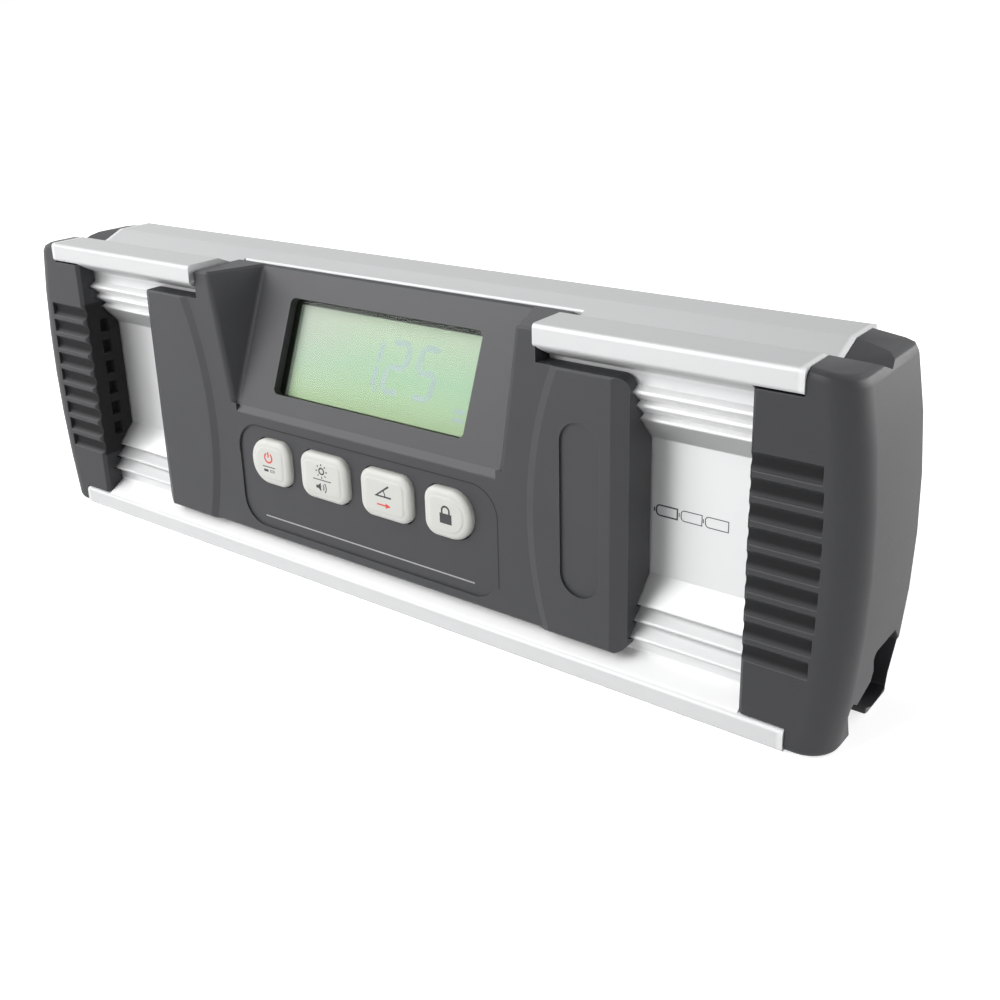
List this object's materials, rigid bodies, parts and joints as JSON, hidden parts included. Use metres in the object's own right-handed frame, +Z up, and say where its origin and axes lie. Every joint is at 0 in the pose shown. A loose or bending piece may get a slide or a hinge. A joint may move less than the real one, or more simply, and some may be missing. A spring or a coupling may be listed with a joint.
{
  "type": "digital inclinometer",
  "caption": "Hand-held digital level: an aluminium box beam with front channel, moulded end caps and a moulded housing with a tilted display above a row of keys.",
  "frame": {"origin": "centre of the footprint, on the bottom measuring face", "axes": "+X along the beam towards the battery end, +Y from the display side to the back, +Z up"},
  "size_m": [0.2226, 0.0306, 0.071],
  "materials": {
    "anodised_aluminium": "satin anodised",
    "black_plastic": "fine texture",
    "seal_rubber": "matte",
    "clear_window": "clear",
    "lcd_glass": "satin",
    "light_guide": "frosted",
    "white_plastic": "matte",
    "screw_steel": "plated",
    "flex_film": "satin",
    "board_laminate": "satin",
    "chip_black": "matte",
    "key_plastic": "satin",
    "cell_jacket": "satin",
    "contact_metal": "nickel plated",
    "red_lead": "satin",
    "black_lead": "satin"
  },
  "bodies": {
    "level": {"beam_extrusion": "anodised_aluminium", "left_end_cap": "black_plastic", "display_housing": "black_plastic", "left_cap_seal": "seal_rubber", "housing_gasket": "seal_rubber", "keypad_mat": "seal_rubber", "display_window": "clear_window", "lcd_panel": "lcd_glass", "lcd_backlight": "light_guide", "lcd_holder": "white_plastic", "holder_screws": "screw_steel", "board_screws": "screw_steel", "lcd_flex": "flex_film", "main_board": "board_laminate", "mcu_chip": "chip_black", "tilt_sensor": "chip_black", "buzzer": "chip_black", "battery_tube": "chip_black", "battery_cell_1": "cell_jacket", "battery_cell_2": "cell_jacket", "battery_cell_3": "cell_jacket", "spring_contact": "contact_metal", "return_strip": "contact_metal", "positive_lead": "red_lead", "negative_lead": "black_lead"},
    "power_key": {"key_power": "key_plastic"},
    "light_key": {"key_light": "key_plastic"},
    "mode_key": {"key_mode": "key_plastic"},
    "hold_key": {"key_hold": "key_plastic"},
    "battery_cap": {"right_end_cap": "black_plastic", "right_cap_seal": "seal_rubber", "cap_contact": "contact_metal"}
  },
  "joints": [
    {"name": "power_press", "type": "slide", "parent": "level", "child": "power_key", "axis": [0, 1, 0], "range_m": [0, 0.0006], "stiffness_N_per_m": 2500},
    {"name": "light_press", "type": "slide", "parent": "level", "child": "light_key", "axis": [0, 1, 0], "range_m": [0, 0.0006], "stiffness_N_per_m": 2500},
    {"name": "mode_press", "type": "slide", "parent": "level", "child": "mode_key", "axis": [0, 1, 0], "range_m": [0, 0.0006], "stiffness_N_per_m": 2500},
    {"name": "hold_press", "type": "slide", "parent": "level", "child": "hold_key", "axis": [0, 1, 0], "range_m": [0, 0.0006], "stiffness_N_per_m": 2500},
    {"name": "battery_cap_pull", "type": "slide", "parent": "level", "child": "battery_cap", "axis": [1, 0, 0], "range_m": [0, 0.03]}
  ]
}
